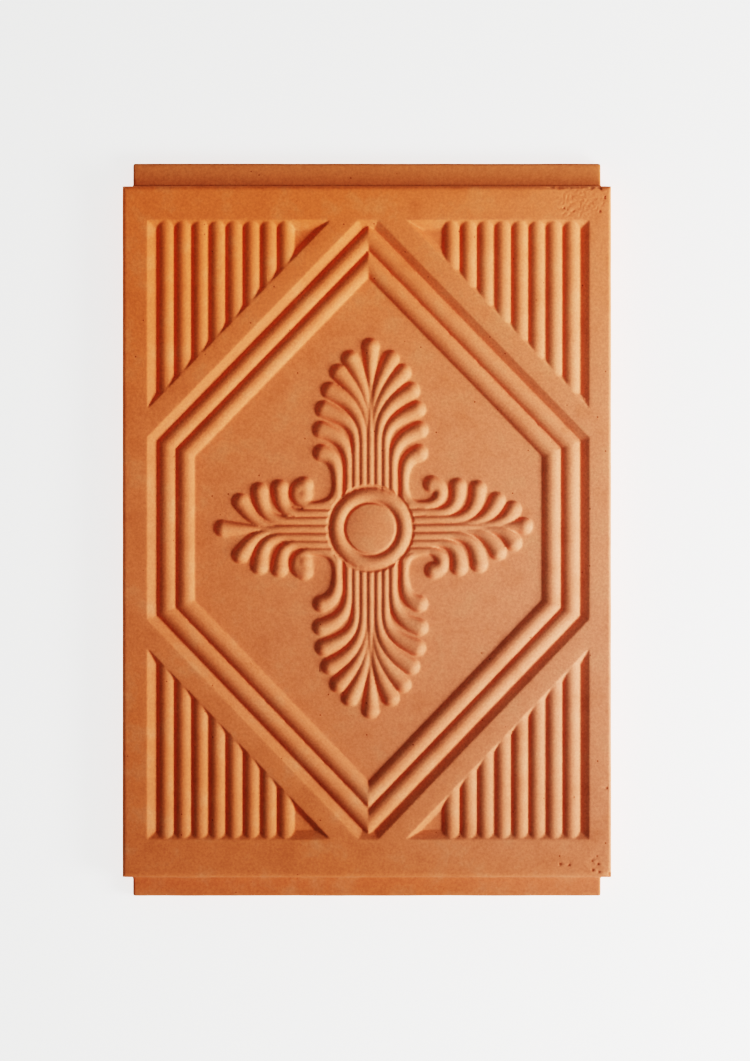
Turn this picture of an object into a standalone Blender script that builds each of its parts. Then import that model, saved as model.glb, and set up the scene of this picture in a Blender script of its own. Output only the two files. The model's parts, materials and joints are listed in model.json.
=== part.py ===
"""Fired clay ceiling tile with a pressed relief, lying on its back with its face up.

Metres, +Z out of the face, +Y towards the upper tongue. The origin is under the middle of the tile,
on its back. The face carries a moulded hexagon, four reeded corner panels and a rosette of four palmettes.
"""

import math
from collections import namedtuple

import bmesh
import bpy
from mathutils import Vector

# Slab and tongues
FACE_WIDTH = 0.254
FACE_LENGTH = 0.359
THICKNESS = 0.020
ARRIS_RADIUS = 0.0018
UPPER_TONGUE_REACH = 0.012
LOWER_TONGUE_REACH = 0.010
TONGUE_THICKNESS = 0.010
TONGUE_SIDE_INSET = 0.0053
TONGUE_ARRIS_RADIUS = 0.0009

# Flat border between the slab's edge and the sunk relief
LEFT_BORDER = 0.0129
RIGHT_BORDER = 0.0115
UPPER_BORDER = 0.0177
LOWER_BORDER = 0.0197

# Sunk relief
RELIEF_DEPTH = 0.0038
WALL_RUN = 0.0050
REED_CREST_DROP = 0.0003

# Hexagon and its reeds
HEXAGON_SIDE = 0.0945
HEXAGON_SIDE_RISE = 0.0008
APEX_FLAT = 0.0102
HEXAGON_REED_WIDTH = 0.0097
HEXAGON_REED_COUNT = 2
HEXAGON_REED_FACETS = 8

# Corner panels
BAND_WIDTH = 0.0103
SLANT_WALL_RUN = 0.0026
CORNER_REED_PITCH = 0.0089
CORNER_REED_COUNT = 8
CORNER_REED_SIDES = 28

# Rosette's ring and boss, with heights above the sunk field
ROSETTE_OFFSET = (0.0011, 0.0007)
RING_RADIUS = 0.0212
RING_WIDTH = 0.0072
RING_CREST = 0.0037
RING_FACETS = 8
BOSS_EDGE_HEIGHT = 0.0024
BOSS_CROWN = 0.0033
BOSS_ARRIS = 0.0010
BOSS_GROOVE_HEIGHT = 0.0009
TURNED_STEPS = 44

# Rosette's palmettes, drawn as strokes of stems that swell into lobes
UPRIGHT_ARM = 0.0994
LEFT_ARM = 0.0817
RIGHT_ARM = 0.0849
RIGHT_ARM_TILT = math.radians(1.0)
STEM_PITCH = 0.00385
STEM_HALF_WIDTH = 0.0021
STEM_CREST = 0.0026
LOBE_HALF_WIDTH = 0.0051
LOBE_CREST = 0.0038
RING_GAP = 0.0007
BRANCH_SHARE = 0.5
STROKE_STEEPNESS = 1.3
STROKE_BEVEL_RESOLUTION = 2
STROKE_STEPS = 6
DROP_STEPS = 3
ROUND_END_ANGLES = (30, 58, 80)

# How far a cutter stands over the face, and how deep the rosette is rooted in the field
OVERCUT = 0.002
ROOT_DEPTH = 0.0012

# A lobe's row: its stem's place across the arm in stem pitches, then, as shares of the arm's length, where
# the stem lets go and where the lobe's round end is centred, along and across, and how far it has turned.
Lobe = namedtuple("Lobe", "stem release along across turn")
UPRIGHT_LOBES = (
    Lobe(0.3, 0.55, 0.885, 0.106, 28),
    Lobe(0.3, 0.44, 0.814, 0.167, 45),
    Lobe(1.0, 0.44, 0.720, 0.212, 62),
    Lobe(2.0, 0.44, 0.622, 0.243, 66),
    Lobe(3.0, 0.32, 0.515, 0.256, 72),
    Lobe(4.5, 0.235, 0.394, 0.254, 70),
)
LEFT_LOBES = (
    Lobe(0.4, 0.59, 0.825, 0.169, 58),
    Lobe(1.1, 0.54, 0.705, 0.238, 88),
    Lobe(2.1, 0.46, 0.578, 0.256, 92),
    Lobe(3.1, 0.37, 0.420, 0.274, 165),
)
RIGHT_LOBES = (
    Lobe(0.3, 0.64, 0.872, 0.101, 58),
    Lobe(0.4, 0.52, 0.777, 0.156, 62),
    Lobe(1.1, 0.48, 0.661, 0.229, 85),
    Lobe(2.1, 0.41, 0.538, 0.246, 92),
    Lobe(3.1, 0.34, 0.381, 0.264, 165),
)
# Where the middle stem starts to thin and where it swells again into the drop, as shares of the arm.
Spine = namedtuple("Spine", "stem_end drop_start")
UPRIGHT_SPINE = Spine(0.50, 0.71)
LEFT_SPINE = Spine(0.58, 0.69)
RIGHT_SPINE = Spine(0.58, 0.78)
# How far the corner link keeps each stem's direction, and how far it runs into the stems, as shares.
LINK_PULL = 0.75
LINK_LAP = 0.01

CLAY_COLOUR = (0.52, 0.165, 0.040, 1.0)
CLAY_ROUGHNESS = 0.75
SMOOTH_ANGLE = math.radians(32)
WELD_DISTANCE = 0.000001

# Worked out from the sizes above
TOTAL_LENGTH = FACE_LENGTH + UPPER_TONGUE_REACH + LOWER_TONGUE_REACH
FACE_CENTRE_Y = (LOWER_TONGUE_REACH - UPPER_TONGUE_REACH) / 2
FIELD_Z = THICKNESS - RELIEF_DEPTH
RELIEF_LEFT = -FACE_WIDTH / 2 + LEFT_BORDER
RELIEF_RIGHT = FACE_WIDTH / 2 - RIGHT_BORDER
RELIEF_TOP = FACE_CENTRE_Y + FACE_LENGTH / 2 - UPPER_BORDER
RELIEF_BOTTOM = FACE_CENTRE_Y - FACE_LENGTH / 2 + LOWER_BORDER
RELIEF_CENTRE = Vector(((RELIEF_LEFT + RELIEF_RIGHT) / 2, (RELIEF_TOP + RELIEF_BOTTOM) / 2))
HALF_RELIEF = Vector(((RELIEF_RIGHT - RELIEF_LEFT) / 2, (RELIEF_TOP - RELIEF_BOTTOM) / 2))
REED_HEIGHT = RELIEF_DEPTH - REED_CREST_DROP
ROSETTE_CENTRE = RELIEF_CENTRE + Vector(ROSETTE_OFFSET)


def clear_scene():
    for obj in list(bpy.data.objects):
        bpy.data.objects.remove(obj)
    for collection in list(bpy.data.collections):
        bpy.data.collections.remove(collection)


def new_collection(name):
    collection = bpy.data.collections.new(name)
    bpy.context.scene.collection.children.link(collection)
    return collection


def hide_helper(obj):
    obj.hide_render = True
    obj.display_type = "WIRE"
    return obj


def finish_mesh(name, bm, collection):
    bmesh.ops.recalc_face_normals(bm, faces=bm.faces)
    mesh = bpy.data.meshes.new(name)
    bm.to_mesh(mesh)
    bm.free()
    obj = bpy.data.objects.new(name, mesh)
    collection.objects.link(obj)
    return obj


def evaluated_mesh(obj):
    graph = bpy.context.evaluated_depsgraph_get()
    return bpy.data.meshes.new_from_object(obj.evaluated_get(graph))


def add_boolean(obj, operation, other):
    """Cuts or joins with another object, or with all the objects of a collection."""
    modifier = obj.modifiers.new(other.name, "BOOLEAN")
    modifier.operation = operation
    modifier.solver = "EXACT"
    if isinstance(other, bpy.types.Collection):
        modifier.operand_type = "COLLECTION"
        modifier.collection = other
    else:
        modifier.object = other


def make_box(name, low, high, arris_radius, arris_segments, collection):
    """A box between two corners, with rounded arrises."""
    bm = bmesh.new()
    bmesh.ops.create_cube(bm, size=1)
    bmesh.ops.scale(bm, vec=high - low, verts=bm.verts)
    bmesh.ops.translate(bm, vec=(low + high) / 2, verts=bm.verts)
    box = finish_mesh(name, bm, collection)
    arris = box.modifiers.new("worn_arrises", "BEVEL")
    arris.width = arris_radius
    arris.segments = arris_segments
    return box


def inset_outline(points, insets):
    """The counter-clockwise convex outline with each side moved inwards by its own distance."""
    count = len(points)
    sides = []
    for i, start in enumerate(points):
        along = (points[(i + 1) % count] - start).normalized()
        inward = Vector((-along.y, along.x))
        sides.append((start + inward * insets[i], along))
    moved = []
    for i in range(count):
        before, before_along = sides[i - 1]
        here, here_along = sides[i]
        across = before_along.x * here_along.y - before_along.y * here_along.x
        gap = here - before
        reach = (gap.x * here_along.y - gap.y * here_along.x) / across
        moved.append(before + before_along * reach)
    return moved


def pocket_cutter(name, outline, profile, collection):
    """A solid that sinks a pocket. profile gives each ring's insets and height, from the face down."""
    bm = bmesh.new()
    rings = []
    for insets, height in profile:
        corners = inset_outline(outline, insets)
        rings.append([bm.verts.new((corner.x, corner.y, height)) for corner in corners])
    bm.faces.new(rings[0])
    bm.faces.new(rings[-1][::-1])
    count = len(outline)
    for upper, lower in zip(rings, rings[1:]):
        for i in range(count):
            after = (i + 1) % count
            bm.faces.new((upper[i], lower[i], lower[after], upper[after]))
    return hide_helper(finish_mesh(name, bm, collection))


def wall_profile(runs):
    """Two rings for a sloping wall from over the face to the floor. runs gives each side's wall run."""
    above = [-run * OVERCUT / RELIEF_DEPTH for run in runs]
    return [(above, THICKNESS + OVERCUT), (list(runs), FIELD_Z)]


def hexagon_slant(sy):
    """Rise over run of the hexagon's two slanting sides above (sy 1) or below (sy -1) its middle."""
    side_end = HEXAGON_SIDE / 2 + sy * HEXAGON_SIDE_RISE
    return (HALF_RELIEF.y - side_end) / (HALF_RELIEF.x - APEX_FLAT / 2)


def hexagon_apex(sy):
    """How far the slanting sides would meet from the middle. The border cuts this point off flat."""
    return HALF_RELIEF.y + hexagon_slant(sy) * APEX_FLAT / 2


def hexagon_outline():
    x = HALF_RELIEF.x
    upper = HEXAGON_SIDE / 2 + HEXAGON_SIDE_RISE
    lower = HEXAGON_SIDE_RISE - HEXAGON_SIDE / 2
    top = hexagon_apex(1)
    bottom = -hexagon_apex(-1)
    corners = ((x, lower), (x, upper), (0, top), (-x, upper), (-x, lower), (0, bottom))
    return [RELIEF_CENTRE + Vector(corner) for corner in corners]


def arc_radius(width, height):
    """The radius of the arc with this chord and rise."""
    return (width * width / 4 + height * height) / (2 * height)


def reed_arc(start, width, height, facets):
    """(distance, height) points of a reed's arc, from after its first foot to its other foot."""
    radius = arc_radius(width, height)
    half_angle = math.asin(width / 2 / radius)
    points = []
    for i in range(1, facets + 1):
        angle = -half_angle + 2 * half_angle * i / facets
        rise = height - radius * (1 - math.cos(angle))
        points.append((start + width / 2 + radius * math.sin(angle), rise))
    return points


def make_border_cutter(collection):
    corners = ((-1, -1), (1, -1), (1, 1), (-1, 1))
    outline = [RELIEF_CENTRE + Vector((sx * HALF_RELIEF.x, sy * HALF_RELIEF.y)) for sx, sy in corners]
    return pocket_cutter("border_cutter", outline, wall_profile([WALL_RUN] * len(outline)), collection)


def make_hexagon_cutter(collection, border_cutter):
    outline = hexagon_outline()
    sides = len(outline)
    profile = wall_profile([WALL_RUN] * sides)
    for reed in range(HEXAGON_REED_COUNT):
        start = WALL_RUN + reed * HEXAGON_REED_WIDTH
        for distance, rise in reed_arc(start, HEXAGON_REED_WIDTH, REED_HEIGHT, HEXAGON_REED_FACETS):
            profile.append(([distance] * sides, FIELD_Z + rise))
    cutter = pocket_cutter("hexagon_cutter", outline, profile, collection)
    add_boolean(cutter, "INTERSECT", border_cutter)
    return cutter


def panel_outline(sx, sy):
    """The corner panel's triangle, run out past the border on its two square sides."""
    reach = HALF_RELIEF + Vector((THICKNESS, THICKNESS))
    slant = hexagon_slant(sy)
    apex = hexagon_apex(sy) + BAND_WIDTH * math.sqrt(1 + slant * slant)
    corner = Vector((sx * reach.x, sy * reach.y))
    on_end = Vector((sx * (apex - reach.y) / slant, sy * reach.y))
    on_side = Vector((sx * reach.x, sy * (apex - slant * reach.x)))
    points = [on_end, on_side, corner] if sx * sy < 0 else [on_side, on_end, corner]
    return [RELIEF_CENTRE + point for point in points]


def make_panel_cutter(sx, sy, helpers, border_cutter):
    """The corner panel's cutter. The reeds are taken out of it, so that they stay standing."""
    name = ("upper" if sy > 0 else "lower") + ("_right" if sx > 0 else "_left")
    runs = [SLANT_WALL_RUN, 0.0, 0.0]
    cutter = pocket_cutter(name + "_panel_cutter", panel_outline(sx, sy), wall_profile(runs), helpers)
    reeds = new_collection(name + "_reeds")
    radius = arc_radius(CORNER_REED_PITCH, REED_HEIGHT)
    outermost = HALF_RELIEF.x - WALL_RUN - CORNER_REED_PITCH / 2
    for i in range(CORNER_REED_COUNT):
        bpy.ops.mesh.primitive_cylinder_add(
            vertices=CORNER_REED_SIDES,
            radius=radius,
            depth=2 * HALF_RELIEF.y,
            location=(
                RELIEF_CENTRE.x + sx * (outermost - i * CORNER_REED_PITCH),
                RELIEF_CENTRE.y + sy * HALF_RELIEF.y,
                FIELD_Z + REED_HEIGHT - radius,
            ),
            rotation=(math.pi / 2, 0, 0),
        )
        reed = bpy.context.active_object
        reed.name = f"{name}_reed_{i + 1}"
        for collection in list(reed.users_collection):
            collection.objects.unlink(reed)
        reeds.objects.link(hide_helper(reed))
    add_boolean(cutter, "DIFFERENCE", reeds)
    add_boolean(cutter, "INTERSECT", border_cutter)
    return cutter


def make_slab(collection, helpers):
    half = Vector((FACE_WIDTH / 2, FACE_LENGTH / 2, 0))
    middle = Vector((0, FACE_CENTRE_Y, 0))
    top = Vector((0, 0, THICKNESS))
    slab = make_box("ceiling_tile", middle - half, middle + half + top, ARRIS_RADIUS, 3, collection)
    tongue_x = FACE_WIDTH / 2 - TONGUE_SIDE_INSET
    low = Vector((-tongue_x, -TOTAL_LENGTH / 2, 0))
    high = Vector((tongue_x, TOTAL_LENGTH / 2, TONGUE_THICKNESS))
    add_boolean(slab, "UNION", hide_helper(make_box("tongues", low, high, TONGUE_ARRIS_RADIUS, 2, helpers)))
    return slab


def make_ring_and_boss(collection):
    """The ring and the boss, turned as one."""
    inside = RING_RADIUS - RING_WIDTH
    half_width = RING_WIDTH / 2
    boss_edge = inside - BOSS_ARRIS
    profile = [
        (0.0, BOSS_CROWN),
        (boss_edge / 2, (3 * BOSS_CROWN + BOSS_EDGE_HEIGHT) / 4),
        (boss_edge, BOSS_EDGE_HEIGHT),
        (inside, BOSS_GROOVE_HEIGHT),
    ]
    for i in range(1, RING_FACETS + 1):
        angle = math.pi * i / RING_FACETS
        foot = BOSS_GROOVE_HEIGHT * (i < RING_FACETS / 2)
        rise = foot + (RING_CREST - foot) * math.sin(angle)
        profile.append((inside + half_width - half_width * math.cos(angle), rise))
    profile += [(RING_RADIUS, -ROOT_DEPTH), (0.0, -ROOT_DEPTH)]
    mesh = bpy.data.meshes.new("ring_and_boss")
    points = [(radius, 0, height) for radius, height in profile]
    mesh.from_pydata(points, [(i, i + 1) for i in range(len(points) - 1)], [])
    turned = bpy.data.objects.new("ring_and_boss", mesh)
    collection.objects.link(turned)
    turned.location = (ROSETTE_CENTRE.x, ROSETTE_CENTRE.y, FIELD_Z)
    screw = turned.modifiers.new("turned", "SCREW")
    screw.axis = "Z"
    screw.steps = TURNED_STEPS
    screw.render_steps = TURNED_STEPS
    screw.use_merge_vertices = True
    screw.merge_threshold = WELD_DISTANCE
    hide_helper(turned)


def bezier_points(corners, steps):
    """steps + 1 points along the cubic Bezier curve."""
    a, b, c, d = corners
    points = []
    for i in range(steps + 1):
        t = i / steps
        s = 1 - t
        points.append(a * s**3 + b * (3 * s * s * t) + c * (3 * s * t * t) + d * t**3)
    return points


def swell(share, stem_scale):
    """Half width and crest height of a stroke on its way from a stem, times the scale, to a full lobe."""
    half_width = STEM_HALF_WIDTH * stem_scale
    crest = STEM_CREST * stem_scale
    return half_width + (LOBE_HALF_WIDTH - half_width) * share, crest + (LOBE_CREST - crest) * share


def round_end(place, direction):
    """Points that close a lobe with half a ball."""
    points = []
    for degrees in ROUND_END_ANGLES:
        angle = math.radians(degrees)
        half_width = LOBE_HALF_WIDTH * math.cos(angle)
        crest = LOBE_CREST - STROKE_STEEPNESS * (LOBE_HALF_WIDTH - half_width)
        points.append((place + direction * LOBE_HALF_WIDTH * math.sin(angle), half_width, crest))
    return points


def lobe_stroke(lobe, arm, side):
    """(place, half width, crest height) points of a stem and its lobe, along and across the arm."""
    turn = math.radians(lobe.turn)
    start = Vector((lobe.release * arm, side * lobe.stem * STEM_PITCH))
    end = Vector((lobe.along * arm, side * lobe.across * arm))
    direction = Vector((math.cos(turn), side * math.sin(turn)))
    # The pull that makes a cubic curve follow an arc of this turn
    pull = (end - start).length * 0.4 / math.cos(turn / 4) ** 2
    stroke = []
    ring_edge = RING_RADIUS + RING_GAP
    if lobe.stem >= 1 and abs(start.y) < ring_edge:
        foot = math.sqrt(ring_edge**2 - start.y**2)
        if foot < start.x:
            stroke.append((Vector((foot, start.y)), STEM_HALF_WIDTH, STEM_CREST))
    corners = (start, start + Vector((pull, 0)), end - direction * pull, end)
    # A lobe that branches off the middle stem starts small, inside it
    scale = 1.0 if lobe.stem >= 1 else BRANCH_SHARE
    for i, place in enumerate(bezier_points(corners, STROKE_STEPS)):
        stroke.append((place, *swell(i / STROKE_STEPS, scale)))
    return stroke + round_end(end, direction)


def spine_stroke(spine, arm):
    """The middle stem, which thins and then swells into the drop at the arm's end."""
    stroke = [
        (Vector((RING_RADIUS + RING_GAP, 0)), STEM_HALF_WIDTH, STEM_CREST),
        (Vector((spine.stem_end * arm, 0)), STEM_HALF_WIDTH, STEM_CREST),
    ]
    drop_start = spine.drop_start * arm
    drop_centre = arm - LOBE_HALF_WIDTH
    for i in range(DROP_STEPS + 1):
        share = i / DROP_STEPS
        along = drop_start + (drop_centre - drop_start) * share
        stroke.append((Vector((along, 0)), *swell(share, BRANCH_SHARE)))
    return stroke + round_end(Vector((drop_centre, 0)), Vector((1, 0)))


def link_stroke(sx, sy):
    """The stroke that carries an upright arm's outer stem round into a level arm's outer stem."""
    upright = UPRIGHT_LOBES[-1]
    level, level_arm = (LEFT_LOBES[-1], LEFT_ARM) if sx < 0 else (RIGHT_LOBES[-1], RIGHT_ARM)
    above = Vector((sx * upright.stem * STEM_PITCH, sy * (upright.release + LINK_LAP) * UPRIGHT_ARM))
    beside = Vector((sx * (level.release + LINK_LAP) * level_arm, sy * level.stem * STEM_PITCH))
    corners = (
        above,
        Vector((above.x, above.y + (beside.y - above.y) * LINK_PULL)),
        Vector((beside.x + (above.x - beside.x) * LINK_PULL, beside.y)),
        beside,
    )
    return [(place, STEM_HALF_WIDTH, STEM_CREST) for place in bezier_points(corners, STROKE_STEPS)]


def make_stroke(name, stroke, heading, collection):
    """A tube along the stroke, turned to the arm's heading about the rosette's centre, and made steeper."""
    curve = bpy.data.curves.new(name, "CURVE")
    curve.dimensions = "3D"
    curve.bevel_depth = 1.0
    curve.bevel_resolution = STROKE_BEVEL_RESOLUTION
    curve.use_fill_caps = True
    spline = curve.splines.new("POLY")
    spline.points.add(len(stroke) - 1)
    ahead = Vector((math.cos(heading), math.sin(heading)))
    across = Vector((-ahead.y, ahead.x))
    for point, (place, half_width, crest) in zip(spline.points, stroke):
        spot = ROSETTE_CENTRE + ahead * place.x + across * place.y
        point.co = (spot.x, spot.y, crest / STROKE_STEEPNESS - half_width, 1)
        point.radius = half_width
    guide = bpy.data.objects.new(name, curve)
    collection.objects.link(guide)
    mesh = evaluated_mesh(guide)
    bpy.data.objects.remove(guide)
    bm = bmesh.new()
    bm.from_mesh(mesh)
    bpy.data.meshes.remove(mesh)
    bmesh.ops.remove_doubles(bm, verts=bm.verts, dist=WELD_DISTANCE)
    bmesh.ops.scale(bm, vec=(1, 1, STROKE_STEEPNESS), verts=bm.verts)
    bmesh.ops.translate(bm, vec=(0, 0, FIELD_Z), verts=bm.verts)
    hide_helper(finish_mesh(name, bm, collection))


def make_arm(name, arm, heading, lobes, spine, collection):
    make_stroke(name + "_spine", spine_stroke(spine, arm), heading, collection)
    for i, lobe in enumerate(lobes):
        for side, hand in ((1, "left"), (-1, "right")):
            make_stroke(f"{name}_{hand}_lobe_{i + 1}", lobe_stroke(lobe, arm, side), heading, collection)


def make_rosette():
    rosette = new_collection("rosette")
    make_ring_and_boss(rosette)
    quarter_turn = math.pi / 2
    make_arm("upper_arm", UPRIGHT_ARM, quarter_turn, UPRIGHT_LOBES, UPRIGHT_SPINE, rosette)
    make_arm("lower_arm", UPRIGHT_ARM, -quarter_turn, UPRIGHT_LOBES, UPRIGHT_SPINE, rosette)
    make_arm("left_arm", LEFT_ARM, math.pi, LEFT_LOBES, LEFT_SPINE, rosette)
    make_arm("right_arm", RIGHT_ARM, RIGHT_ARM_TILT, RIGHT_LOBES, RIGHT_SPINE, rosette)
    for sx in (-1, 1):
        for sy in (-1, 1):
            make_stroke(f"link_{sx}_{sy}", link_stroke(sx, sy), 0.0, rosette)
    return rosette


def make_clay():
    clay = bpy.data.materials.new("fired_clay")
    clay.use_nodes = True
    shader = clay.node_tree.nodes["Principled BSDF"]
    shader.inputs["Base Color"].default_value = CLAY_COLOUR
    shader.inputs["Roughness"].default_value = CLAY_ROUGHNESS
    shader.inputs["Metallic"].default_value = 0.0
    return clay


def make_tile():
    """Sinks the pockets into the slab, joins the rosette to it and smooths its rounded faces."""
    parts = new_collection("clay_ceiling_tile")
    helpers = new_collection("cutters")
    rosette = make_rosette()
    border_cutter = make_border_cutter(helpers)
    cutters = [make_hexagon_cutter(helpers, border_cutter)]
    cutters += [make_panel_cutter(sx, sy, helpers, border_cutter) for sx in (-1, 1) for sy in (-1, 1)]
    tile = make_slab(parts, helpers)
    for cutter in cutters:
        add_boolean(tile, "DIFFERENCE", cutter)
    add_boolean(tile, "UNION", rosette)
    mesh = evaluated_mesh(tile)
    tile.modifiers.clear()
    tile.data = mesh
    mesh.shade_smooth()
    mesh.set_sharp_from_angle(angle=SMOOTH_ANGLE)
    mesh.materials.clear()
    mesh.materials.append(make_clay())


clear_scene()
make_tile()
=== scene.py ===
import json
import math

import bpy
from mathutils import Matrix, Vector, noise

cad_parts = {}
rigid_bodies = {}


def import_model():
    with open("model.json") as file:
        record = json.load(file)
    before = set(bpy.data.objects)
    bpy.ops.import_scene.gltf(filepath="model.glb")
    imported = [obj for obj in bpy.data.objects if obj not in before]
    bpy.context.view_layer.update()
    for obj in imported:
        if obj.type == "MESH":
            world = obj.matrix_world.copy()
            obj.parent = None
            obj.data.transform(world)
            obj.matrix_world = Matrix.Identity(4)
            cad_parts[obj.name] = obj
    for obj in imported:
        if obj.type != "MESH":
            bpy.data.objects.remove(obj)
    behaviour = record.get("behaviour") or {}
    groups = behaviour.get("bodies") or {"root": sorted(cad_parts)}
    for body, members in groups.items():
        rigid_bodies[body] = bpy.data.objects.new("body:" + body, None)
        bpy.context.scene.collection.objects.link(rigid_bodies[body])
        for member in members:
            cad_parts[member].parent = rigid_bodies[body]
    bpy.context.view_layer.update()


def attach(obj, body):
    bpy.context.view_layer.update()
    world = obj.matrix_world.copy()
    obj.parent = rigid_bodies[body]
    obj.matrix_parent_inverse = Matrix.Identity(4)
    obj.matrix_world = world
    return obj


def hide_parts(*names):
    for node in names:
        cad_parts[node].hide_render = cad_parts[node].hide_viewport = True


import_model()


def fresh():
    # object mode with nothing selected, so that the next operator only gets what it is given
    if bpy.context.object and bpy.context.object.mode != "OBJECT":
        bpy.ops.object.mode_set(mode="OBJECT")
    bpy.ops.object.select_all(action="DESELECT")


def pick(obj):
    fresh()
    obj.select_set(True)
    bpy.context.view_layer.objects.active = obj


def named(name):
    obj = bpy.context.object
    obj.name = name
    return obj


def settle(obj, location=True):
    # put the object's place, turn and size into its mesh
    pick(obj)
    bpy.ops.object.transform_apply(location=location, rotation=True, scale=True)


def selectFaces(obj, test):
    # in edit mode, selects the faces whose centre and normal pass the test
    bpy.ops.mesh.select_all(action="DESELECT")
    bpy.ops.object.mode_set(mode="OBJECT")
    for face in obj.data.polygons:
        face.select = test(face.center, face.normal)
    bpy.ops.object.mode_set(mode="EDIT")
    bpy.ops.mesh.select_mode(type="FACE")


def selectEdges(obj, test):
    # in edit mode, selects the edges whose two ends pass the test
    bpy.ops.mesh.select_mode(type="EDGE")
    bpy.ops.mesh.select_all(action="DESELECT")
    bpy.ops.object.mode_set(mode="OBJECT")
    points = obj.data.vertices
    for edge in obj.data.edges:
        edge.select = test(*(points[i].co for i in edge.vertices))
    bpy.ops.object.mode_set(mode="EDIT")


def joined(name, objects):
    pick(objects[0])
    for obj in objects[1:]:
        obj.select_set(True)
    bpy.ops.object.join()
    return named(name)


def hexColour(code):
    # sRGB hex to the linear colour that the shaders work in
    steps = [int(code[i:i + 2], 16) / 255 for i in (1, 3, 5)]
    return [s / 12.92 if s <= 0.04045 else ((s + 0.055) / 1.055) ** 2.4 for s in steps] + [1.0]


# slab, tongues and sunk border
slab = {
    "width": 0.2539, "length": 0.359, "thickness": 0.020,
    "middleY": -0.001,
    "arris": 0.0020, "arrisSteps": 4, "rimBand": 0.0012,       # points this near the outline are the rim
    "tongueLength": 0.3809, "tongueThickness": 0.010, "tongueInset": 0.0053, "tongueArris": 0.0010,
    "borderLeft": 0.0129, "borderRight": 0.0115, "borderTop": 0.0177, "borderBottom": 0.0197,
    "reliefDepth": 0.0038, "wallRun": 0.0050,
}
field = slab["thickness"] - slab["reliefDepth"]     # height of the sunk field
left = -slab["width"] / 2 + slab["borderLeft"]
right = slab["width"] / 2 - slab["borderRight"]
top = slab["middleY"] + slab["length"] / 2 - slab["borderTop"]
bottom = slab["middleY"] - slab["length"] / 2 + slab["borderBottom"]
centre = Vector(((left + right) / 2, (top + bottom) / 2, 0))
half = Vector(((right - left) / 2, (top - bottom) / 2, 0))


def makeSlab(s):
    fresh()
    bpy.ops.mesh.primitive_cube_add(
        size=1, location=(0, s["middleY"], s["thickness"] / 2),
        scale=(s["width"], s["length"], s["thickness"]))
    body = named("slab")
    settle(body)
    bpy.ops.object.mode_set(mode="EDIT")
    # the opening of the relief: inset the face, then pull the new face to its own borders
    selectFaces(body, lambda c, n: n.z > 0.9)
    bpy.ops.mesh.inset(thickness=s["borderLeft"], depth=0)
    inner = (s["width"] - 2 * s["borderLeft"], s["length"] - 2 * s["borderLeft"])
    bpy.ops.transform.resize(
        value=(2 * half.x / inner[0], 2 * half.y / inner[1], 1), center_override=(0, s["middleY"], 0))
    bpy.ops.transform.translate(value=(centre.x, centre.y - s["middleY"], 0))
    bpy.ops.mesh.inset(thickness=s["wallRun"], depth=-s["reliefDepth"])
    # the arrises round the face and the back
    rimX, rimY = s["width"] / 2 - s["rimBand"], s["length"] / 2 - s["rimBand"]
    rim = lambda p: abs(p.x) > rimX or abs(p.y - s["middleY"]) > rimY
    selectEdges(body, lambda a, b: rim(a) and rim(b) and abs(a.z - b.z) < 0.0001)
    bpy.ops.mesh.bevel(offset=s["arris"], segments=s["arrisSteps"], affect="EDGES")
    bpy.ops.object.mode_set(mode="OBJECT")
    return body


def makeTongues(s):
    fresh()
    bpy.ops.mesh.primitive_cube_add(
        size=1, location=(0, 0, s["tongueThickness"] / 2),
        scale=(s["width"] - 2 * s["tongueInset"], s["tongueLength"], s["tongueThickness"]))
    body = named("tongues")
    settle(body)
    bpy.ops.object.mode_set(mode="EDIT")
    bpy.ops.mesh.select_all(action="SELECT")
    bpy.ops.mesh.bevel(offset=s["tongueArris"], segments=3, affect="EDGES")
    bpy.ops.object.mode_set(mode="OBJECT")
    return body


# hexagon: bands and the two reeds
hexagon = {
    "side": 0.0945, "sideRise": 0.0008, "apexFlat": 0.0102,
    "reedWidth": 0.0097, "reedHeight": 0.0036, "reeds": 2, "reedSteps": 12,
    "bandWidth": 0.0103, "bandPanelRun": 0.0026, "bandTuck": 0.001, "bandRoot": 0.0015,
    "root": 0.003,
}


def slant(sy):
    return (half.y - hexagon["side"] / 2 - sy * hexagon["sideRise"]) / (half.x - hexagon["apexFlat"] / 2)


def apex(sy):
    # where the two slanting sides would meet, above (1) or below (-1) the middle
    return half.y + slant(sy) * hexagon["apexFlat"] / 2


def arcRadius(chord, rise):
    return (chord * chord / 4 + rise * rise) / (2 * rise)


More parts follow.
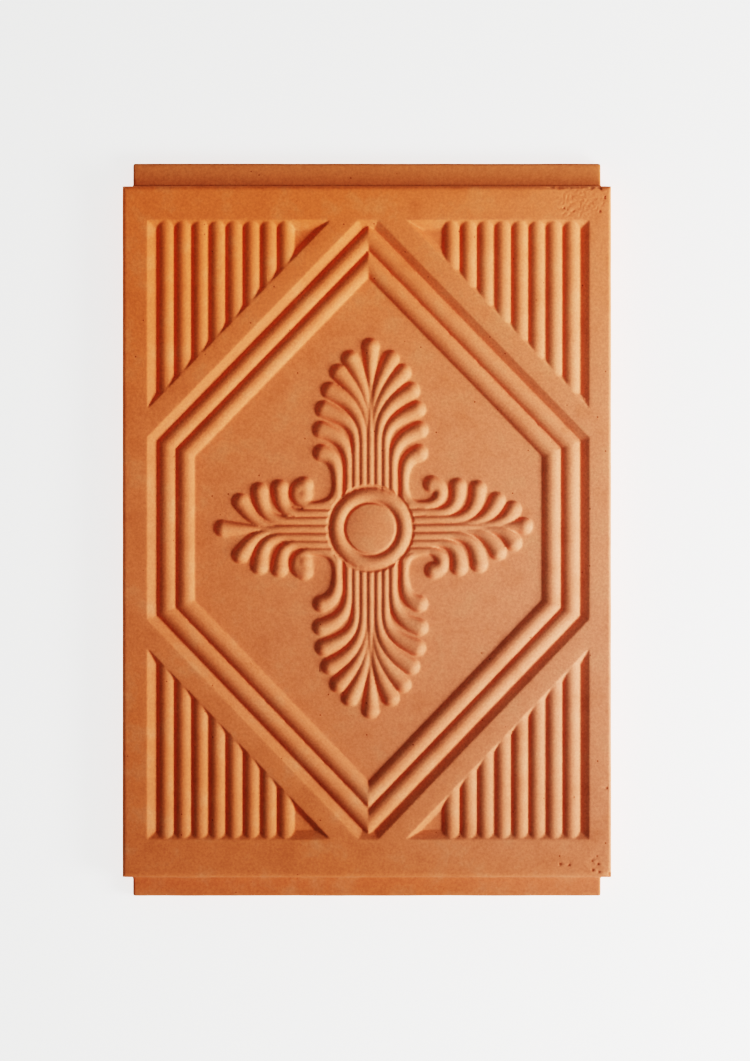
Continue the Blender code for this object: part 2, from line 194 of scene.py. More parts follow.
def makeHexagon(h):
    upper = h["side"] / 2 + h["sideRise"]
    lower = h["sideRise"] - h["side"] / 2
    corners = [(0, apex(1)), (half.x, upper), (half.x, lower), (0, -apex(-1)), (-half.x, lower), (-half.x, upper)]
    fresh()
    bpy.ops.mesh.primitive_circle_add(
        vertices=6, radius=1, fill_type="NGON", location=(0, 0, field - h["root"]))
    plate = named("hexagon_plate")
    settle(plate)
    ring = sorted(plate.data.vertices, key=lambda v: math.atan2(v.co.x, v.co.y) % (2 * math.pi))
    places = sorted(corners, key=lambda c: math.atan2(c[0], c[1]) % (2 * math.pi))
    for vert, (x, y) in zip(ring, places):
        vert.co.x, vert.co.y = centre.x + x, centre.y + y
    bpy.ops.object.mode_set(mode="EDIT")
    bpy.ops.mesh.select_all(action="SELECT")
    bpy.ops.mesh.extrude_region_move(TRANSFORM_OT_translate={"value": (0, 0, h["root"])})
    bpy.ops.mesh.select_all(action="SELECT")
    bpy.ops.mesh.normals_make_consistent(inside=False)
    selectFaces(plate, lambda c, n: n.z > 0.9)
    bpy.ops.mesh.inset(thickness=slab["wallRun"], depth=0)
    # each reed is the same arc, walked inwards step by step
    radius = arcRadius(h["reedWidth"], h["reedHeight"])
    widest = math.asin(h["reedWidth"] / 2 / radius)
    for reed in range(h["reeds"]):
        last = (0, 0)
        for i in range(1, h["reedSteps"] + 1):
            angle = -widest + 2 * widest * i / h["reedSteps"]
            here = (h["reedWidth"] / 2 + radius * math.sin(angle),
                    h["reedHeight"] - radius * (1 - math.cos(angle)))
            bpy.ops.mesh.inset(thickness=here[0] - last[0], depth=here[1] - last[1])
            last = here
    bpy.ops.object.mode_set(mode="OBJECT")
    return plate


def makeBand(h, sx, sy):
    # a flat bar from border to border, between the hexagon and a corner panel
    run = Vector((sx, -sy * slant(sy), 0)).normalized()
    out = Vector((sx * slant(sy), sy, 0)).normalized()
    start = Vector((sx * h["apexFlat"] / 2, sy * half.y, 0)) + centre
    end = Vector((sx * half.x, sy * (apex(sy) - slant(sy) * half.x), 0)) + centre
    length = (end - start).length + 2 * h["bandTuck"]
    middle = (start + end) / 2 + out * h["bandWidth"] / 2
    low = field - h["bandRoot"]
    fresh()
    bpy.ops.mesh.primitive_cube_add(
        size=1, location=(0, 0, (low + slab["thickness"]) / 2),
        scale=(length, h["bandWidth"], slab["thickness"] - low))
    band = named("band")
    settle(band)
    # the flanks lean out to their feet, and go on down below the field at the same slope
    deeper = (slab["thickness"] - low) / slab["reliefDepth"]
    bpy.ops.object.mode_set(mode="EDIT")
    outSide = 1 if run.x * out.y - run.y * out.x > 0 else -1
    for side, lean in ((outSide, h["bandPanelRun"]), (-outSide, slab["wallRun"])):
        selectEdges(band, lambda a, b: a.y * side > 0 and b.y * side > 0 and max(a.z, b.z) < field)
        bpy.ops.transform.translate(value=(0, side * lean * deeper, 0))
    bpy.ops.object.mode_set(mode="OBJECT")
    band.rotation_euler.z = math.atan2(run.y, run.x)
    band.location = middle
    settle(band)
    return band


# corner panels: eight half-round reeds each
cornerReeds = {
    "count": 8, "pitch": 0.0089, "height": 0.0036, "sides": 64,
    "tuck": 0.0015, "wallLap": 0.9,                 # how far the ends run into the border's wall
}


def makeCornerReeds(r, sx, sy):
    reeds = []
    radius = arcRadius(r["pitch"], r["height"])
    for i in range(r["count"]):
        x = half.x - slab["wallRun"] - (i + 0.5) * r["pitch"]
        # from inside the border to the middle of the band under it
        far = half.y - slab["wallRun"] + slab["wallRun"] * r["wallLap"] + r["tuck"]
        near = apex(sy) - slant(sy) * x + hexagon["bandWidth"] / 2 * math.hypot(1, slant(sy))
        fresh()
        bpy.ops.mesh.primitive_cylinder_add(
            vertices=r["sides"], radius=radius, depth=far - near, rotation=(math.pi / 2, 0, 0),
            location=(centre.x + sx * x, centre.y + sy * (far + near) / 2, field + r["height"] - radius))
        reeds.append(named("corner_reed"))
        settle(reeds[-1])
    return reeds


# rosette: boss, ring and four palmettes
rosette = {
    "offset": (0.0011, 0.0007, 0),
    "ringOuter": 0.0212, "ringWidth": 0.0072, "ringCrest": 0.0037,
    "boss": 0.0134, "bossEdge": 0.0026, "bossCrown": 0.0034, "bossArris": 0.0010,
    "bossWallRun": 0.0003, "arrisSteps": 4, "domeSteps": 7, "grooveShare": 0.6,
    "grooveFloor": 0.0009, "root": 0.003, "turns": 128,
    "upright": 0.0994, "leftArm": 0.0817, "rightArm": 0.0849, "rightTilt": math.radians(1.0),
    "stemPitch": 0.00385, "stemHalf": 0.0021, "stemCrest": 0.0026,
    "lobeHalf": 0.0051, "lobeCrest": 0.0038,
    "stemsUnderRing": 0.003, "branchShare": 0.5, "steep": 1.3, "roundness": 10, "lobePull": 0.4,
    "collar": 0.0011, "collarHeight": 0.0011,       # the flat rim round the ring where the stems stop
    # stem place in pitches, then shares of the arm: let-go, lobe along, lobe across; and its turn in degrees
    "uprightLobes": [
        (0.3, 0.55, 0.885, 0.106, 28), (0.3, 0.44, 0.814, 0.167, 45), (1.0, 0.44, 0.720, 0.212, 62),
        (2.0, 0.44, 0.622, 0.243, 66), (3.0, 0.32, 0.515, 0.256, 72), (4.5, 0.235, 0.394, 0.254, 70)],
    "leftLobes": [
        (0.4, 0.59, 0.825, 0.169, 58), (1.1, 0.54, 0.705, 0.238, 88), (2.1, 0.46, 0.578, 0.256, 92),
        (3.1, 0.37, 0.420, 0.274, 165)],
    "rightLobes": [
        (0.3, 0.64, 0.872, 0.101, 58), (0.4, 0.52, 0.777, 0.156, 62), (1.1, 0.48, 0.661, 0.229, 85),
        (2.1, 0.41, 0.538, 0.246, 92), (3.1, 0.34, 0.381, 0.264, 165)],
    # where the middle stem starts to thin and where it swells into the drop
    "uprightSpine": (0.50, 0.71), "leftSpine": (0.58, 0.69), "rightSpine": (0.58, 0.78),
    "linkPull": 0.75, "linkLap": 0.01,
    # along, across, half width, crest: what fills the heart of the left arm's volutes
    "voluteFill": (0.424, 0.215, 0.0052, 0.0037),
    # where the clay is rubbed smooth, from the middle: across, up and radius, on both sides of the left arm
    "rubbed": [(-0.0346, 0.0176, 0.0064), (-0.0386, 0.0106, 0.0022), (-0.0438, 0.0064, 0.0022)], "rubs": 40,
}
heart = centre + Vector(rosette["offset"])


def makeRing(r):
    fresh()
    bpy.ops.mesh.primitive_torus_add(
        major_segments=r["turns"], minor_segments=32, location=(heart.x, heart.y, field),
        major_radius=r["ringOuter"] - r["ringWidth"] / 2, minor_radius=r["ringWidth"] / 2)
    ring = named("ring")
    ring.scale.z = r["ringCrest"] / (r["ringWidth"] / 2)
    settle(ring)
    bpy.ops.mesh.primitive_cylinder_add(
        vertices=r["turns"], radius=r["ringOuter"] + r["collar"], depth=r["root"] + r["collarHeight"],
        location=(heart.x, heart.y, field + (r["collarHeight"] - r["root"]) / 2))
    collar = named("collar")
    return joined("ring", [ring, collar])


def makeBoss(r):
    # the groove's floor first, then the low dome inside it, raised by insets
    inside = r["ringOuter"] - r["ringWidth"] * r["grooveShare"]
    fresh()
    bpy.ops.mesh.primitive_cylinder_add(
        vertices=r["turns"], radius=inside, depth=r["root"] + r["grooveFloor"],
        location=(heart.x, heart.y, field + (r["grooveFloor"] - r["root"]) / 2))
    boss = named("boss")
    settle(boss)
    bpy.ops.object.mode_set(mode="EDIT")
    selectFaces(boss, lambda c, n: n.z > 0.9)
    bpy.ops.mesh.inset(thickness=inside - r["boss"], depth=0)
    wall = r["bossEdge"] - r["grooveFloor"] - r["bossArris"]
    bpy.ops.mesh.inset(thickness=r["bossWallRun"], depth=wall)
    for i in range(1, r["arrisSteps"] + 1):
        before, here = (math.pi / 2 * k / r["arrisSteps"] for k in (i - 1, i))
        bpy.ops.mesh.inset(
            thickness=r["bossArris"] * (math.cos(before) - math.cos(here)),
            depth=r["bossArris"] * (math.sin(here) - math.sin(before)))
    dome = r["boss"] - r["bossWallRun"] - r["bossArris"]
    rise = r["bossCrown"] - r["bossEdge"]
    steps = r["domeSteps"]
    for i in range(1, steps):
        before, here = ((i - 1) / steps, i / steps)
        bpy.ops.mesh.inset(
            thickness=dome / steps, depth=rise * ((1 - (1 - here) ** 2) - (1 - (1 - before) ** 2)))
    bpy.ops.object.mode_set(mode="OBJECT")
    return boss


def strokeHeight(halfWidth, crest):
    # height of a stroke's axis over the field, before the strokes are made steeper
    return crest / rosette["steep"] - halfWidth


def addStroke(points, heading):
    # points: (along, across, half width, crest, handle vector or None), laid along the arm's heading
    fresh()
    bpy.ops.curve.primitive_bezier_curve_add(enter_editmode=False)
    guide = named("stroke")
    guide.matrix_world.identity()
    curve = guide.data
    curve.dimensions = "3D"
    curve.bevel_depth = 1
    curve.bevel_resolution = rosette["roundness"]
    curve.resolution_u = 20
    curve.use_fill_caps = True
    spline = curve.splines[0]
    spline.bezier_points.add(len(points) - 2)
    turn = Vector((math.cos(heading), math.sin(heading), 0))
    side = Vector((-turn.y, turn.x, 0))
    spots = [turn * p[0] + side * p[1] + Vector((0, 0, strokeHeight(p[2], p[3]))) for p in points]
    for i, (knot, spot, p) in enumerate(zip(spline.bezier_points, spots, points)):
        knot.handle_left_type = knot.handle_right_type = "FREE"
        knot.co = spot
        knot.radius = p[2]
        before = spots[i - 1] if i else spot
        after = spots[i + 1] if i + 1 < len(spots) else spot
        knot.handle_left = spot + (before - spot) / 3
        knot.handle_right = spot + (after - spot) / 3
        for handle, pull in (("handle_left", p[4]), ("handle_right", p[5])):
            if pull:
                level = getattr(knot, handle).z
                reach = spot + turn * pull[0] + side * pull[1]
                reach.z = level
                setattr(knot, handle, reach)
    bpy.ops.object.convert(target="MESH")
    tube = bpy.context.object
    tube.location = (heart.x, heart.y, field)
    made = [tube]
    # a ball closes the last end round
    last, reach = points[-1], spots[-1]
    if len(last) > 6:
        bpy.ops.mesh.primitive_uv_sphere_add(
            segments=32, ring_count=16, radius=last[2],
            location=(heart.x + reach.x, heart.y + reach.y, field + reach.z))
        made.append(bpy.context.object)
    return made


def makeLobe(lobe, arm, side, heading):
    r = rosette
    stem, release, along, across, degrees = lobe
    turn = math.radians(degrees)
    start = Vector((release * arm, side * stem * r["stemPitch"]))
    end = Vector((along * arm, side * across * arm))
    pull = (end - start).length * r["lobePull"] / math.cos(turn / 4) ** 2
    scale = 1 if stem >= 1 else r["branchShare"]
    points = []
    edge = r["ringOuter"] - r["stemsUnderRing"]
    if stem >= 1 and abs(start.y) < edge and math.sqrt(edge ** 2 - start.y ** 2) < start.x:
        points.append((math.sqrt(edge ** 2 - start.y ** 2), start.y, r["stemHalf"], r["stemCrest"], None, None))
    points.append((start.x, start.y, r["stemHalf"] * scale, r["stemCrest"] * scale, None, (pull, 0)))
    back = (-math.cos(turn) * pull, -side * math.sin(turn) * pull)
    points.append((end.x, end.y, r["lobeHalf"], r["lobeCrest"], back, None, "round"))
    return addStroke(points, heading)


def makeSpine(spine, arm, heading):
    r = rosette
    thin, drop = spine
    small = r["branchShare"]
    return addStroke([
        (r["ringOuter"] - r["stemsUnderRing"], 0, r["stemHalf"], r["stemCrest"], None, None),
        (thin * arm, 0, r["stemHalf"], r["stemCrest"], None, None),
        (drop * arm, 0, r["stemHalf"] * small, r["stemCrest"] * small, None, None),
        (arm - r["lobeHalf"], 0, r["lobeHalf"], r["lobeCrest"], None, None, "round")], heading)


def makeLink(sx, sy):
    r = rosette
    outer = r["uprightLobes"][-1]
    level, arm = (r["leftLobes"][-1], r["leftArm"]) if sx < 0 else (r["rightLobes"][-1], r["rightArm"])
    above = (sx * outer[0] * r["stemPitch"], sy * (outer[1] + r["linkLap"]) * r["upright"])
    beside = (sx * (level[1] + r["linkLap"]) * arm, sy * level[0] * r["stemPitch"])
    size = (r["stemHalf"], r["stemCrest"])
    down = (0, (beside[1] - above[1]) * r["linkPull"])
    inward = ((above[0] - beside[0]) * r["linkPull"], 0)
    return addStroke([(*above, *size, None, down), (*beside, *size, inward, None)], 0)


def makeRosette(r):
    strokes = []
    arms = [
        (r["upright"], math.pi / 2, r["uprightLobes"], r["uprightSpine"]),
        (r["upright"], -math.pi / 2, r["uprightLobes"], r["uprightSpine"]),
        (r["leftArm"], math.pi, r["leftLobes"], r["leftSpine"]),
        (r["rightArm"], r["rightTilt"], r["rightLobes"], r["rightSpine"]),
    ]
    for arm, heading, lobes, spine in arms:
        strokes += makeSpine(spine, arm, heading)
        for lobe in lobes:
            for side in (1, -1):
                strokes += makeLobe(lobe, arm, side, heading)
    for sx in (-1, 1):
        for sy in (-1, 1):
            strokes += makeLink(sx, sy)
    along, across, size, crest = r["voluteFill"]
    for side in (1, -1):
        fresh()
        bpy.ops.mesh.primitive_uv_sphere_add(segments=32, ring_count=16, radius=size, location=(
            heart.x - along * r["leftArm"], heart.y + side * across * r["leftArm"],
            field + strokeHeight(size, crest)))
        strokes.append(named("volute_fill"))
    palmettes = joined("palmettes", strokes)
    settle(palmettes)
    bpy.ops.object.mode_set(mode="EDIT")
    bpy.ops.mesh.select_all(action="SELECT")
    bpy.ops.transform.resize(value=(1, 1, r["steep"]), center_override=(heart.x, heart.y, field))
    bpy.ops.object.mode_set(mode="OBJECT")
    return [palmettes, makeRing(r), makeBoss(r)]


# one pressed piece of clay
pressing = {
    "grain": 0.00043,     # voxel size
    "softening": 7,            # smoothing passes that round the pressed edges
    "faces": 190000,
    "waviness": 0.00025, "waveSize": 0.030,         # uneven hand pressing
}


def addModifier(obj, kind, **settings):
    pick(obj)
    modifier = obj.modifiers.new(kind.lower(), kind)
    for name, value in settings.items():
        setattr(modifier, name, value)
    bpy.ops.object.modifier_apply(modifier=modifier.name)


def cutCollar(obj, r):
    # stems end at the collar: what stands over it comes down to its height, rising again outside it
    inner, outer = r["ringOuter"] - 0.0002, r["ringOuter"] + r["collar"]
    for vert in obj.data.vertices:
        if vert.co.z > field + r["collarHeight"]:
            away = math.hypot(vert.co.x - heart.x, vert.co.y - heart.y)
            if inner < away < outer + 0.001:
                vert.co.z = min(vert.co.z, field + r["collarHeight"] + 2 * max(away - outer, 0))


def rubSmooth(obj, r):
    # the left volutes close into plain balls, and the forks beside them fill a little
    spots = [(heart.x + x, heart.y + side * y, radius) for x, y, radius in r["rubbed"] for side in (1, -1)]
    group = obj.vertex_groups.new(name="rubbed")
    group.add([v.index for v in obj.data.vertices if v.co.z > field and any(
        math.hypot(v.co.x - x, v.co.y - y) < radius for x, y, radius in spots)], 1, "REPLACE")
    addModifier(obj, "SMOOTH", factor=0.5, iterations=r["rubs"], vertex_group=group.name)
    obj.vertex_groups.clear()


# what the firing and the years left: pits as (x, y, radius, depth), a ragged length of the head's arris,
# and a coarse patch beside it
wear = {
    "pits": [
        (0.1002, -0.1735, 0.0009, 0.0004), (0.1049, -0.1740, 0.0008, 0.0004), (0.1168, -0.1719, 0.0007, 0.0003),
        (0.1199, -0.1735, 0.0008, 0.0004), (0.1173, -0.1766, 0.0008, 0.0004), (0.1205, -0.1776, 0.0007, 0.0003),
        (0.1194, -0.1693, 0.0006, 0.0003), (0.1262, -0.1787, 0.0012, 0.0008), (0.1246, -0.1340, 0.0008, 0.0004),
        (0.1023, 0.1670, 0.0007, 0.0004), (0.1234, 0.1723, 0.0007, 0.0004), (0.1215, 0.1768, 0.0007, 0.0004),
        (0.1210, 0.1654, 0.0006, 0.0003), (0.0850, -0.0560, 0.0005, 0.0003), (0.0595, -0.0640, 0.0006, 0.0002)],
    "pitGrain": 0.0007, "pitWarp": 0.4,             # how uneven a pit's outline is
    # the ragged dents get a share of the pits' painted shade
    "raggedFrom": 0.0960, "raggedTo": 0.1225, "raggedStep": 0.0034, "raggedIn": 0.0004,
    "raggedSize": 0.0011, "raggedDepth": 0.0007, "raggedShade": 0.2, "raggedTurn": 900,
    "patch": (0.1100, 0.1690, 0.0150, 0.0095), "patchGrain": 0.0011, "patchDepth": 0.00044,
    "wornFrom": 0.05, "faceSkin": 0.002,            # only the right side is worn, and the patch only on the face
}


def wearDown(obj, w):
    headEdge = slab["middleY"] + slab["length"] / 2
    # each dent carries its share of painted shade, full for the pits
    dents = [(*pit, 1) for pit in w["pits"]]
    x = w["raggedFrom"]
    while x < w["raggedTo"]:
        turn = noise.noise((x * w["raggedTurn"], 0.5, 0.5))
        dents.append((x, headEdge - w["raggedIn"], w["raggedSize"] * (1 + turn),
                      w["raggedDepth"] * (1 + turn), w["raggedShade"]))
        x += w["raggedStep"] * (1 + 0.6 * turn)
    px, py, reachX, reachY = w["patch"]
    pitShade = obj.data.attributes.new("pit_shade", "FLOAT", "POINT").data    # how much painted shade a pit gets
    for vert in obj.data.vertices:
        co = vert.co
        if co.z < field or co.x < w["wornFrom"]:
            continue
        if co.z > slab["thickness"] - w["faceSkin"]:
            away = math.hypot((co.x - px) / reachX, (co.y - py) / reachY)
            if away < 1:
                grain = noise.noise(co / w["patchGrain"])
                co.z -= w["patchDepth"] * max(grain, 0) * (1 - away ** 4)
        for x, y, radius, depth, shadeShare in dents:
            if abs(co.x - x) < radius and abs(co.y - y) < radius:
                away = math.hypot(co.x - x, co.y - y) / radius
                away *= 1 + w["pitWarp"] * noise.noise(co / w["pitGrain"])
                if away < 1:
                    co.z -= depth * (1 - away * away) ** 0.5
                    pitShade[vert.index].value = max(pitShade[vert.index].value, shadeShare * (1 - away ** 3))


def dropBubbles(obj):
    # strokes that cross can shut a tiny hollow in under the skin: only the outer shell is kept
    pick(obj)
    points = obj.data.vertices
    outermost = max(range(len(points)), key=lambda i: points[i].co.x)
    bpy.ops.object.mode_set(mode="EDIT")
    bpy.ops.mesh.select_mode(type="VERT")
    bpy.ops.mesh.select_all(action="DESELECT")
    bpy.ops.object.mode_set(mode="OBJECT")
    obj.data.vertices[outermost].select = True
    bpy.ops.object.mode_set(mode="EDIT")
    bpy.ops.mesh.select_linked()
    bpy.ops.mesh.select_all(action="INVERT")
    bpy.ops.mesh.delete(type="VERT")
    bpy.ops.object.mode_set(mode="OBJECT")


def makeTile():
    parts = [makeSlab(slab), makeTongues(slab)]
    print("slab and tongues built")
    parts.append(makeHexagon(hexagon))
    for sx in (-1, 1):
        for sy in (-1, 1):
            parts.append(makeBand(hexagon, sx, sy))
            parts += makeCornerReeds(cornerReeds, sx, sy)
    print("hexagon and corner panels built")
    parts += makeRosette(rosette)
    print("rosette built")
    tile = joined("clay_tile", parts)
    settle(tile)
    addModifier(tile, "REMESH", mode="VOXEL", voxel_size=pressing["grain"], adaptivity=0)
    print("pressed into one piece:", len(tile.data.polygons), "faces")
    cutCollar(tile, rosette)
    addModifier(tile, "SMOOTH", factor=0.5, iterations=pressing["softening"])
    rubSmooth(tile, rosette)
    wearDown(tile, wear)
    print("collar cut, edges softened and worn")
    waves = bpy.data.textures.new("waves", "CLOUDS")
    waves.noise_scale = pressing["waveSize"]
    addModifier(tile, "DISPLACE", texture=waves, texture_coords="LOCAL", strength=pressing["waviness"], mid_level=1)
    triangles = 2 * len(tile.data.polygons)
    if triangles > pressing["faces"]:
        addModifier(tile, "DECIMATE", ratio=pressing["faces"] / triangles)
    dropBubbles(tile)
    print("thinned to", len(tile.data.polygons), "faces")
    pick(tile)
    bpy.ops.object.shade_smooth()
    return tile


tile = makeTile()


# fired clay
# unglazed terracotta, pressed in a mould and fired: matt with a faint sheen, warm orange at the left and
# paler and pinker towards the middle of the right side as painted sheen and light, darker at the foot and on the
# tongue at the head as painted shade, with fine grit, soft clouds and open pores where the clay was short of water,
# their dark painted shade
clay = {
    # the pale colour is painted light on the right side; the foot tint, the head's tongue colour and the pore
    # colour are painted shade
    "warm": "#D06A3D", "pale": "#DF8563", "footShade": "#D0E2F9",
    "deep": "#A04E27", "dust": "#DA9A6E", "tongue": "#B06844", "pore": "#6E3317",
    "driftFrom": -0.176, "driftTo": 0.164, "driftBow": -5.5, "driftWander": 0.07, "driftCloud": 60,
    "cloud": 16, "grit": 1.3, "porePitch": 4.0,                 # pattern sizes in mm, the grit coarser than real
    "cloudDark": 0.30, "cloudPale": 0.22, "gritSpread": 0.16, "headShade": 0.75, "headEdge": 0.0005,
    "poreRarity": 0.90, "poreRim": 0.13, "poreCore": 0.05, "pitShadeStrength": 0.75,
    "bump": 0.5, "bumpDepth": 0.00018, "roughness": 0.72, "ior": 1.5, "shine": 0.15,
}


def addNode(tree, kind, settings=None, **links):
    # settings: sockets and properties by name or number; links: sockets to wire, _ for a space, or aN for number N
    node = tree.nodes.new(kind)
    for name, value in (settings or {}).items():
        if isinstance(name, int) or name in node.inputs:
            node.inputs[name].default_value = value
        else:
            setattr(node, name, value)
    for name, source in links.items():
        socket = int(name[1:]) if name[1:].isdigit() else name.replace("_", " ")
        tree.links.new(source, node.inputs[socket])
    return node


def makeClay(c):
    material = bpy.data.materials.new("fired_terracotta")
    material.use_nodes = True
    tree = material.node_tree
    shader = tree.nodes["Principled BSDF"]
    shader.inputs["IOR"].default_value = c["ior"]
    shader.inputs["Specular IOR Level"].default_value = c["shine"]
    place = addNode(tree, "ShaderNodeTexCoord").outputs["Object"]
    axes = addNode(tree, "ShaderNodeSeparateXYZ", Vector=place)
    x, y = axes.outputs["X"], axes.outputs["Y"]

    # painted light: a slow change from warm to pale, strongest half way up the right side, with a cloudy border,
    # standing in for the sheen and the stronger light there
    squared = addNode(tree, "ShaderNodeMath", {"operation": "MULTIPLY"}, a0=y, a1=y)
    bowed = addNode(tree, "ShaderNodeMath", {"operation": "MULTIPLY_ADD", 1: c["driftBow"]},
                    a0=squared.outputs[0], a2=x)
    slow = addNode(tree, "ShaderNodeTexNoise", {"Scale": 1000 / c["driftCloud"], "Detail": 3}, Vector=place)
    wander = addNode(tree, "ShaderNodeMath", {"operation": "MULTIPLY_ADD", 1: c["driftWander"]},
                     a0=slow.outputs["Fac"], a2=bowed.outputs[0])
    paintedLight = addNode(tree, "ShaderNodeMapRange", {
        "From Min": c["driftFrom"] + c["driftWander"] / 2, "From Max": c["driftTo"] + c["driftWander"] / 2},
        Value=wander.outputs[0])
    body = addNode(tree, "ShaderNodeMix", {"data_type": "RGBA", 6: hexColour(c["warm"]), 7: hexColour(c["pale"])},
                   a0=paintedLight.outputs["Result"])

    # clouds of darker and paler clay
    cloud = addNode(tree, "ShaderNodeTexNoise", {"Scale": 1000 / c["cloud"], "Detail": 5, "Roughness": 0.6},
                    Vector=place)
    darker = addNode(tree, "ShaderNodeMapRange", {"From Min": 0.52, "From Max": 0.75, "To Max": c["cloudDark"]},
                     Value=cloud.outputs["Fac"])
    paler = addNode(tree, "ShaderNodeMapRange", {"From Min": 0.48, "From Max": 0.25, "To Max": c["cloudPale"]},
                    Value=cloud.outputs["Fac"])
    clouded = addNode(tree, "ShaderNodeMix", {"data_type": "RGBA", 7: hexColour(c["deep"])},
                      a0=darker.outputs["Result"], a6=body.outputs[2])
    clouded = addNode(tree, "ShaderNodeMix", {"data_type": "RGBA", 7: hexColour(c["dust"])},
                      a0=paler.outputs["Result"], a6=clouded.outputs[2])

    # painted shade: darker and less red towards the foot, where less light falls
    height = addNode(tree, "ShaderNodeMapRange", {
        "From Min": slab["tongueLength"] / 2, "From Max": -slab["tongueLength"] / 2}, Value=y)
    fired = addNode(tree, "ShaderNodeMix", {
        "data_type": "RGBA", "blend_type": "MULTIPLY", 7: hexColour(c["footShade"])},
        a0=height.outputs["Result"], a6=clouded.outputs[2])

    # painted shade: the tongue at the head, lying in the shade of the step above it, is darker
    step = slab["middleY"] + slab["length"] / 2
    head = addNode(tree, "ShaderNodeMapRange", {
        "From Min": step - c["headEdge"], "From Max": step + c["headEdge"], "To Max": c["headShade"]}, Value=y)
    fired = addNode(tree, "ShaderNodeMix", {"data_type": "RGBA", 7: hexColour(c["tongue"])},
                    a0=head.outputs["Result"], a6=fired.outputs[2])

    # grit: single grains a little darker or paler than the clay round them
    grit = addNode(tree, "ShaderNodeTexNoise", {"Scale": 1000 / c["grit"], "Detail": 3, "Roughness": 0.7},
                   Vector=place)
    gritTone = addNode(tree, "ShaderNodeMapRange", {
        "From Min": 0.3, "From Max": 0.7, "To Min": 1 - c["gritSpread"], "To Max": 1 + c["gritSpread"]},
        Value=grit.outputs["Fac"])
    gritty = addNode(tree, "ShaderNodeMix", {"data_type": "RGBA", "blend_type": "MULTIPLY", "Factor": 1.0},
                     a6=fired.outputs[2], a7=gritTone.outputs["Result"])

    # pores: a pinhole in some of the cells, its dark painted shade
    cells = addNode(tree, "ShaderNodeTexVoronoi", {"Scale": 1000 / c["porePitch"]}, Vector=place)
    chance = addNode(tree, "ShaderNodeSeparateColor", Color=cells.outputs["Color"])
    chosen = addNode(tree, "ShaderNodeMath", {"operation": "GREATER_THAN", 1: c["poreRarity"]},
                     a0=chance.outputs["Red"])
    hole = addNode(tree, "ShaderNodeMapRange", {"From Min": c["poreRim"], "From Max": c["poreCore"]},
                   Value=cells.outputs["Distance"])
    pores = addNode(tree, "ShaderNodeMath", {"operation": "MULTIPLY"},
                    a0=chosen.outputs[0], a1=hole.outputs["Result"])
    pitted = addNode(tree, "ShaderNodeMix", {"data_type": "RGBA", 7: hexColour(c["pore"])},
                     a0=pores.outputs[0], a6=gritty.outputs[2])
    # the worn pits and ragged dents get painted shade, darkest at their middles
    pitShade = addNode(tree, "ShaderNodeAttribute", {"attribute_name": "pit_shade"})
    shadeShare = addNode(tree, "ShaderNodeMath", {"operation": "MULTIPLY", 1: c["pitShadeStrength"]}, a0=pitShade.outputs["Fac"])
    pitShaded = addNode(tree, "ShaderNodeMix", {"data_type": "RGBA", 7: hexColour(c["pore"])},
                    a0=shadeShare.outputs[0], a6=pitted.outputs[2])
    tree.links.new(pitShaded.outputs[2], shader.inputs["Base Color"])

    rough = addNode(tree, "ShaderNodeMapRange", {"To Min": c["roughness"] - 0.05, "To Max": c["roughness"] + 0.12},
                    Value=grit.outputs["Fac"])
    tree.links.new(rough.outputs["Result"], shader.inputs["Roughness"])
    sunk = addNode(tree, "ShaderNodeMath", {"operation": "SUBTRACT"}, a0=grit.outputs["Fac"], a1=pores.outputs[0])
    bump = addNode(tree, "ShaderNodeBump", {"Strength": c["bump"], "Distance": c["bumpDepth"]},
                   Height=sunk.outputs[0])
    tree.links.new(bump.outputs["Normal"], shader.inputs["Normal"])
    return material


tile.data.materials.clear()
tile.data.materials.append(makeClay(clay))
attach(tile, "root")
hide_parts("ceiling_tile")


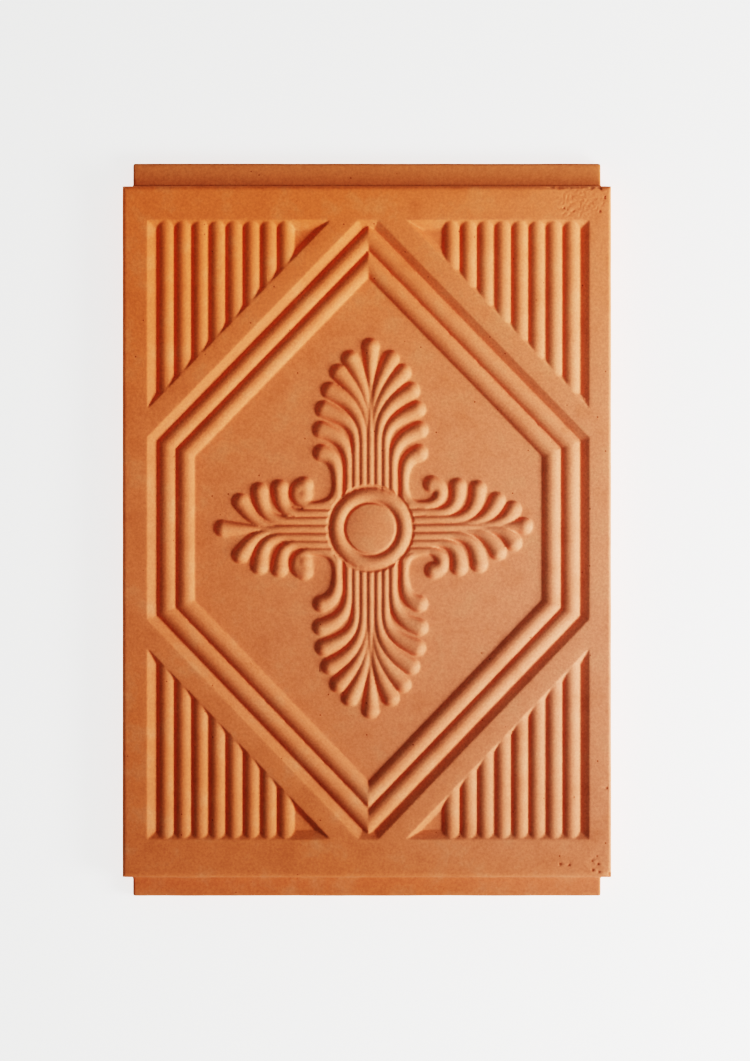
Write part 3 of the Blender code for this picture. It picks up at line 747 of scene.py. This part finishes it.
# floor, light and camera
studio = {
    "floor": "#F8F5F4", "floorGlow": 0.72, "floorSize": 40, "floorDrop": 0.0002, "floorRoughness": 0.9,
    "photoWidth": 750, "photoHeight": 1061, "metresPerPixel": 0.000519,
    "middlePixel": (366.9, 529.75),                 # where the tile's middle lies in the photograph
    "lens": 400, "sensor": 36,
    "lightDistance": 1.3, "keyFrom": (1.0, -0.38, 0.76), "keySize": 0.65, "keyPower": 9.0,
    "rakeFrom": (1.0, -0.38, 0.34), "rakeSize": 0.75, "rakePower": 31,
    "sky": "#ECFFF9", "skyPower": 0.31,
}


def makeStudio(s):
    fresh()
    bpy.ops.mesh.primitive_plane_add(size=s["floorSize"], location=(0, 0, -s["floorDrop"]))
    floor = named("floor")
    paper = bpy.data.materials.new("pale_paper")
    paper.use_nodes = True
    sheet = paper.node_tree.nodes["Principled BSDF"].inputs
    sheet["Base Color"].default_value = hexColour(s["floor"])
    sheet["Roughness"].default_value = s["floorRoughness"]
    sheet["Emission Color"].default_value = hexColour(s["floor"])
    sheet["Emission Strength"].default_value = s["floorGlow"]
    floor.data.materials.append(paper)
    # a soft key from the right, and a low fill from the same side that rakes the relief and throws no shadows
    for name in ("key", "rake"):
        direction = Vector(s[name + "From"]).normalized()
        bpy.ops.object.light_add(type="AREA", location=direction * s["lightDistance"])
        light = named(name + "_softbox")
        light.rotation_euler = direction.to_track_quat("Z", "Y").to_euler()
        light.data.shape = "DISK"
        light.data.size = s[name + "Size"]
        light.data.energy = s[name + "Power"]
        light.data.use_shadow = name == "key"
    world = bpy.data.worlds.new("studio")
    world.use_nodes = True
    # the sky is slightly cool, which takes a little of the red out of the slopes in shade
    dome = world.node_tree.nodes["Background"].inputs
    dome["Color"].default_value = hexColour(s["sky"])
    dome["Strength"].default_value = s["skyPower"]
    bpy.context.scene.world = world
    # looking straight down on the tile, framed as the photograph is
    scale = s["metresPerPixel"]
    height = s["photoHeight"] * scale * s["lens"] / s["sensor"] + slab["thickness"]
    bpy.ops.object.camera_add(location=(
        (s["photoWidth"] / 2 - s["middlePixel"][0]) * scale,
        (s["middlePixel"][1] - s["photoHeight"] / 2) * scale, height), rotation=(0, 0, 0))
    camera = named("camera")
    camera.data.lens = s["lens"]
    camera.data.sensor_width = s["sensor"]
    bpy.context.scene.camera = camera
    bpy.context.scene.view_settings.view_transform = "Filmic"
    bpy.context.scene.view_settings.look = "Very High Contrast"


makeStudio(studio)
print("floor, light and camera set")
